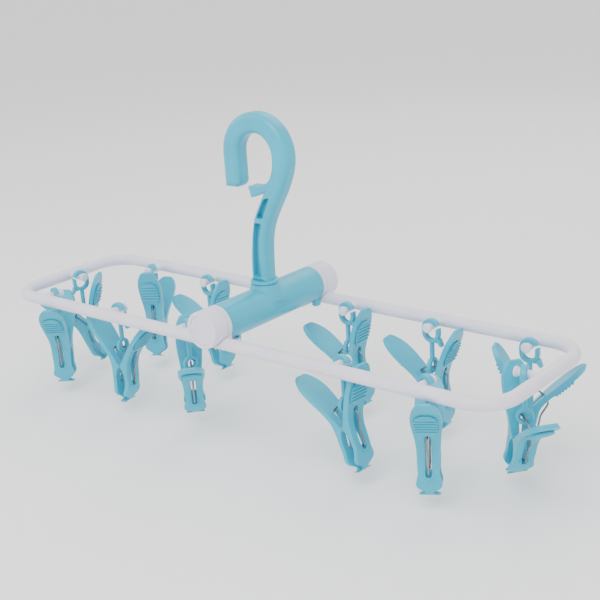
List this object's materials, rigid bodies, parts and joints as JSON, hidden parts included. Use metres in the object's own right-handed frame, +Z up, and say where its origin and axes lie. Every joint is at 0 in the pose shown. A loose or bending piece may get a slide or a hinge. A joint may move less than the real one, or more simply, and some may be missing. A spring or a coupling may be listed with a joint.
{
  "type": "clip drying hanger",
  "caption": "Folding drying hanger with a swivelling rail hook, two hinged rounded frames and spring pegs hung on snap hangers.",
  "frame": {"origin": "centre of the hook's inner arc, on the axis of the rail it hangs from", "axes": "+X along the hanger's length, +Y along the rail axis, +Z up"},
  "size_m": [0.4827, 0.1507, 0.221],
  "materials": {
    "hook_plastic": "satin moulded",
    "blue_plastic": "satin moulded",
    "frame_plastic": "satin moulded",
    "peg_plastic": "satin moulded",
    "spring_wire": "drawn wire",
    "steel": "zinc plated"
  },
  "bodies": {
    "hook": {"rail_hook": "hook_plastic", "swivel_screw": "steel", "swivel_washer": "steel"},
    "cross_sleeve": {"sleeve": "blue_plastic", "axle": "steel", "axle_clip": "steel"},
    "left_arm": {"left_frame": "frame_plastic", "front_cap_disc": "frame_plastic"},
    "right_arm": {"right_frame": "frame_plastic", "back_cap_disc": "frame_plastic"},
    "hanger_01": {"peg_01_hanger": "peg_plastic"},
    "peg_01": {"peg_01_spring": "spring_wire", "peg_01_lever_a": "peg_plastic"},
    "jaw_01": {"peg_01_lever_b": "peg_plastic"},
    "hanger_02": {"peg_02_hanger": "peg_plastic"},
    "peg_02": {"peg_02_spring": "spring_wire", "peg_02_lever_a": "peg_plastic"},
    "jaw_02": {"peg_02_lever_b": "peg_plastic"},
    "hanger_03": {"peg_03_hanger": "peg_plastic"},
    "peg_03": {"peg_03_spring": "spring_wire", "peg_03_lever_a": "peg_plastic"},
    "jaw_03": {"peg_03_lever_b": "peg_plastic"},
    "hanger_04": {"peg_04_hanger": "peg_plastic"},
    "peg_04": {"peg_04_spring": "spring_wire", "peg_04_lever_a": "peg_plastic"},
    "jaw_04": {"peg_04_lever_b": "peg_plastic"},
    "hanger_05": {"peg_05_hanger": "peg_plastic"},
    "peg_05": {"peg_05_spring": "spring_wire", "peg_05_lever_a": "peg_plastic"},
    "jaw_05": {"peg_05_lever_b": "peg_plastic"},
    "hanger_06": {"peg_06_hanger": "peg_plastic"},
    "peg_06": {"peg_06_spring": "spring_wire", "peg_06_lever_a": "peg_plastic"},
    "jaw_06": {"peg_06_lever_b": "peg_plastic"},
    "hanger_07": {"peg_07_hanger": "peg_plastic"},
    "peg_07": {"peg_07_spring": "spring_wire", "peg_07_lever_a": "peg_plastic"},
    "jaw_07": {"peg_07_lever_b": "peg_plastic"},
    "hanger_08": {"peg_08_hanger": "peg_plastic"},
    "peg_08": {"peg_08_spring": "spring_wire", "peg_08_lever_a": "peg_plastic"},
    "jaw_08": {"peg_08_lever_b": "peg_plastic"},
    "hanger_09": {"peg_09_hanger": "peg_plastic"},
    "peg_09": {"peg_09_spring": "spring_wire", "peg_09_lever_a": "peg_plastic"},
    "jaw_09": {"peg_09_lever_b": "peg_plastic"},
    "hanger_10": {"peg_10_hanger": "peg_plastic"},
    "peg_10": {"peg_10_spring": "spring_wire", "peg_10_lever_a": "peg_plastic"},
    "jaw_10": {"peg_10_lever_b": "peg_plastic"},
    "hanger_11": {"peg_11_hanger": "peg_plastic"},
    "peg_11": {"peg_11_spring": "spring_wire", "peg_11_lever_a": "peg_plastic"},
    "jaw_11": {"peg_11_lever_b": "peg_plastic"},
    "hanger_12": {"peg_12_hanger": "peg_plastic"},
    "peg_12": {"peg_12_spring": "spring_wire", "peg_12_lever_a": "peg_plastic"},
    "jaw_12": {"peg_12_lever_b": "peg_plastic"}
  },
  "joints": [
    {"name": "swivel", "type": "hinge", "parent": "hook", "child": "cross_sleeve", "pos_m": [-0.004, 0, -0.0985], "axis": [0, 0, 1], "continuous": true},
    {"name": "left_fold", "type": "hinge", "parent": "cross_sleeve", "child": "left_arm", "pos_m": [-0.004, 0, -0.1075], "axis": [0, 1, 0], "range_deg": [0, 90]},
    {"name": "right_fold", "type": "hinge", "parent": "cross_sleeve", "child": "right_arm", "pos_m": [-0.004, 0, -0.1075], "axis": [0, -1, 0], "range_deg": [0, 90]},
    {"name": "hang_01", "type": "hinge", "parent": "right_arm", "child": "hanger_01", "pos_m": [0.0356, 0.042, -0.1185], "axis": [0, 1, 0], "range_deg": [-12, 4]},
    {"name": "turn_01", "type": "hinge", "parent": "hanger_01", "child": "peg_01", "pos_m": [0.0356, 0.042, -0.1482], "axis": [0, 0, 1], "range_deg": [-18, 0]},
    {"name": "open_01", "type": "hinge", "parent": "peg_01", "child": "jaw_01", "pos_m": [0.03819, 0.042, -0.1622], "axis": [0, 1, 0], "range_deg": [0, 16], "stiffness_Nm_per_rad": 0.25, "springref_deg": -20.05, "deforming": ["peg_01_spring"]},
    {"name": "hang_02", "type": "hinge", "parent": "right_arm", "child": "hanger_02", "pos_m": [0.108, 0.042, -0.1185], "axis": [0, 1, 0], "range_deg": [-4, 8]},
    {"name": "turn_02", "type": "hinge", "parent": "hanger_02", "child": "peg_02", "pos_m": [0.108, 0.042, -0.1482], "axis": [0, 0, 1], "range_deg": [-12, 0]},
    {"name": "open_02", "type": "hinge", "parent": "peg_02", "child": "jaw_02", "pos_m": [0.10962, 0.04211, -0.16222], "axis": [-0.0698, 0.9976, 0], "range_deg": [0, 16], "stiffness_Nm_per_rad": 0.25, "springref_deg": -20.05, "deforming": ["peg_02_spring"]},
    {"name": "hang_03", "type": "hinge", "parent": "right_arm", "child": "hanger_03", "pos_m": [0.183, 0.042, -0.1185], "axis": [0, 1, 0], "range_deg": [-4, 12]},
    {"name": "turn_03", "type": "hinge", "parent": "hanger_03", "child": "peg_03", "pos_m": [0.183, 0.042, -0.1482], "axis": [0, 0, 1], "range_deg": [-18, 18]},
    {"name": "open_03", "type": "hinge", "parent": "peg_03", "child": "jaw_03", "pos_m": [0.18181, 0.04157, -0.16222], "axis": [0.342, -0.9397, 0], "range_deg": [0, 6], "stiffness_Nm_per_rad": 0.25, "springref_deg": -20.05, "deforming": ["peg_03_spring"]},
    {"name": "hang_04", "type": "hinge", "parent": "right_arm", "child": "hanger_04", "pos_m": [0.096, -0.042, -0.1185], "axis": [0, 1, 0], "range_deg": [-4, 12]},
    {"name": "turn_04", "type": "hinge", "parent": "hanger_04", "child": "peg_04", "pos_m": [0.096, -0.042, -0.1482], "axis": [0, 0, 1], "range_deg": [0, 12]},
    {"name": "open_04", "type": "hinge", "parent": "peg_04", "child": "jaw_04", "pos_m": [0.09858, -0.04218, -0.1622], "axis": [0.0698, 0.9976, 0], "range_deg": [0, 16], "stiffness_Nm_per_rad": 0.25, "springref_deg": -20.05, "deforming": ["peg_04_spring"]},
    {"name": "hang_05", "type": "hinge", "parent": "right_arm", "child": "hanger_05", "pos_m": [0.16, -0.042, -0.1185], "axis": [0, 1, 0], "range_deg": [0, 12]},
    {"name": "turn_05", "type": "hinge", "parent": "hanger_05", "child": "peg_05", "pos_m": [0.16, -0.042, -0.1482], "axis": [0, 0, 1], "range_deg": [-10, 6]},
    {"name": "open_05", "type": "hinge", "parent": "peg_05", "child": "jaw_05", "pos_m": [0.16029, -0.0425, -0.1622], "axis": [0.866, 0.5, 0], "range_deg": [0, 12], "stiffness_Nm_per_rad": 0.25, "springref_deg": -20.05, "deforming": ["peg_05_spring"]},
    {"name": "hang_06", "type": "hinge", "parent": "right_arm", "child": "hanger_06", "pos_m": [0.2025, 0, -0.1185], "axis": [-1, 0, 0], "range_deg": [-12, 4]},
    {"name": "turn_06", "type": "hinge", "parent": "hanger_06", "child": "peg_06", "pos_m": [0.2025, 0, -0.1482], "axis": [0, 0, 1], "range_deg": [-18, 14]},
    {"name": "open_06", "type": "hinge", "parent": "peg_06", "child": "jaw_06", "pos_m": [0.20046, 0.00159, -0.1622], "axis": [-0.6157, -0.788, 0], "range_deg": [0, 16], "stiffness_Nm_per_rad": 0.25, "springref_deg": -20.05, "deforming": ["peg_06_spring"]},
    {"name": "hang_07", "type": "hinge", "parent": "left_arm", "child": "hanger_07", "pos_m": [-0.0436, -0.042, -0.1185], "axis": [0, 1, 0], "range_deg": [-4, 12]},
    {"name": "turn_07", "type": "hinge", "parent": "hanger_07", "child": "peg_07", "pos_m": [-0.0436, -0.042, -0.1482], "axis": [0, 0, 1], "range_deg": [-16, 18]},
    {"name": "open_07", "type": "hinge", "parent": "peg_07", "child": "jaw_07", "pos_m": [-0.04546, -0.0402, -0.1622], "axis": [-0.6947, -0.7193, 0], "range_deg": [0, 16], "stiffness_Nm_per_rad": 0.25, "springref_deg": -20.05, "deforming": ["peg_07_spring"]},
    {"name": "hang_08", "type": "hinge", "parent": "left_arm", "child": "hanger_08", "pos_m": [-0.116, -0.042, -0.1185], "axis": [0, 1, 0], "range_deg": [-8, 0]},
    {"name": "turn_08", "type": "hinge", "parent": "hanger_08", "child": "peg_08", "pos_m": [-0.116, -0.042, -0.1482], "axis": [0, 0, 1], "range_deg": [-12, 6]},
    {"name": "open_08", "type": "hinge", "parent": "peg_08", "child": "jaw_08", "pos_m": [-0.11623, -0.04203, -0.1622], "axis": [0.1392, -0.9903, 0], "range_deg": [0, 16], "stiffness_Nm_per_rad": 0.25, "springref_deg": -20.05, "deforming": ["peg_08_spring"]},
    {"name": "hang_09", "type": "hinge", "parent": "left_arm", "child": "hanger_09", "pos_m": [-0.191, -0.042, -0.1185], "axis": [0, 1, 0], "range_deg": [0, 12]},
    {"name": "turn_09", "type": "hinge", "parent": "hanger_09", "child": "peg_09", "pos_m": [-0.191, -0.042, -0.1482], "axis": [0, 0, 1], "range_deg": [-18, 6]},
    {"name": "open_09", "type": "hinge", "parent": "peg_09", "child": "jaw_09", "pos_m": [-0.19086, -0.04218, -0.1622], "axis": [0.788, 0.6157, 0], "range_deg": [0, 12], "stiffness_Nm_per_rad": 0.25, "springref_deg": -20.05, "deforming": ["peg_09_spring"]},
    {"name": "hang_10", "type": "hinge", "parent": "left_arm", "child": "hanger_10", "pos_m": [-0.104, 0.042, -0.1185], "axis": [0, 1, 0], "range_deg": [-12, 4]},
    {"name": "turn_10", "type": "hinge", "parent": "hanger_10", "child": "peg_10", "pos_m": [-0.104, 0.042, -0.1482], "axis": [0, 0, 1], "range_deg": [-18, 0]},
    {"name": "open_10", "type": "hinge", "parent": "peg_10", "child": "jaw_10", "pos_m": [-0.10141, 0.042, -0.1622], "axis": [0, 1, 0], "range_deg": [0, 16], "stiffness_Nm_per_rad": 0.25, "springref_deg": -20.05, "deforming": ["peg_10_spring"]},
    {"name": "hang_11", "type": "hinge", "parent": "left_arm", "child": "hanger_11", "pos_m": [-0.168, 0.042, -0.1185], "axis": [0, 1, 0], "range_deg": [-12, 8]},
    {"name": "turn_11", "type": "hinge", "parent": "hanger_11", "child": "peg_11", "pos_m": [-0.168, 0.042, -0.1482], "axis": [0, 0, 1], "range_deg": [-2, 18]},
    {"name": "open_11", "type": "hinge", "parent": "peg_11", "child": "jaw_11", "pos_m": [-0.1667, 0.03976, -0.1622], "axis": [0.866, 0.5, 0], "range_deg": [0, 16], "stiffness_Nm_per_rad": 0.25, "springref_deg": -20.05, "deforming": ["peg_11_spring"]},
    {"name": "hang_12", "type": "hinge", "parent": "left_arm", "child": "hanger_12", "pos_m": [-0.2105, 0, -0.1185], "axis": [1, 0, 0], "range_deg": [-8, 12]},
    {"name": "turn_12", "type": "hinge", "parent": "hanger_12", "child": "peg_12", "pos_m": [-0.2105, 0, -0.1482], "axis": [0, 0, 1], "range_deg": [-2, 18]},
    {"name": "open_12", "type": "hinge", "parent": "peg_12", "child": "jaw_12", "pos_m": [-0.20826, 0.00129, -0.1622], "axis": [-0.5, 0.866, 0], "range_deg": [0, 16], "stiffness_Nm_per_rad": 0.25, "springref_deg": -20.05, "deforming": ["peg_12_spring"]}
  ]
}
